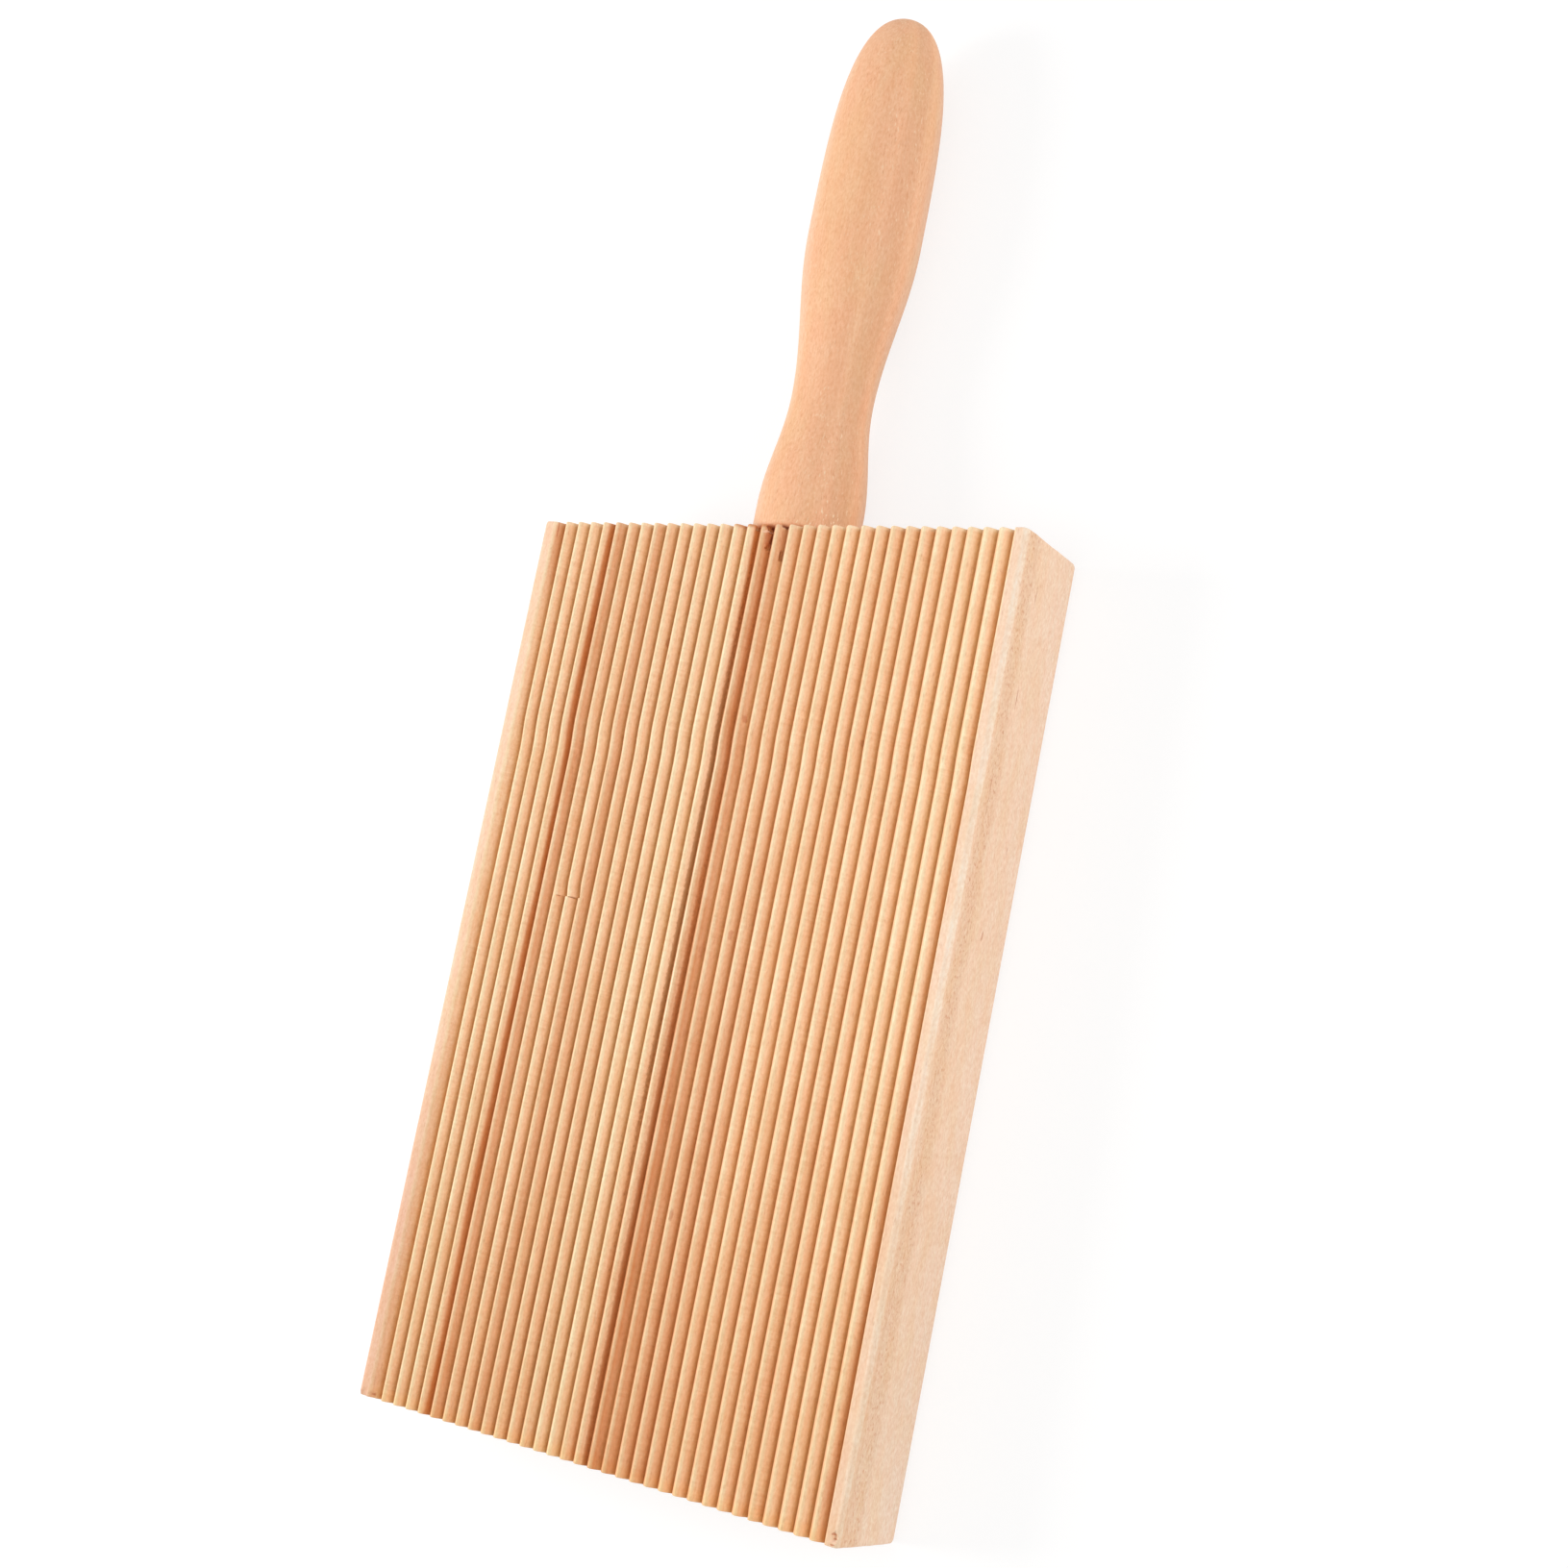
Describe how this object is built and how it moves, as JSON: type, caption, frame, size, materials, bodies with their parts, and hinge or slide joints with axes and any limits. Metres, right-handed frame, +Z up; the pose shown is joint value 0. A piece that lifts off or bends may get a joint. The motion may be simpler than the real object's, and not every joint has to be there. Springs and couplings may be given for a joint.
{
  "type": "gnocchi board",
  "caption": "Wooden gnocchi board: a rectangular paddle with lengthwise rounded ridges on its face and a turned handle fixed into its end.",
  "frame": {"origin": "under the middle of the whole length, on the surface that the board's flat back lies on", "axes": "+Z up out of the ridged face, +Y along the ridges towards the handle's tip, +X across the ridges"},
  "size_m": [0.0724, 0.1914, 0.015],
  "materials": {
    "board_wood": "bare planed and moulded beech, matt, straight grain with darker streaks",
    "handle_wood": "bare turned and sanded beech, satin matt"
  },
  "bodies": {
    "root": {"ridged_board": "board_wood", "handle": "handle_wood"}
  },
  "joints": []
}
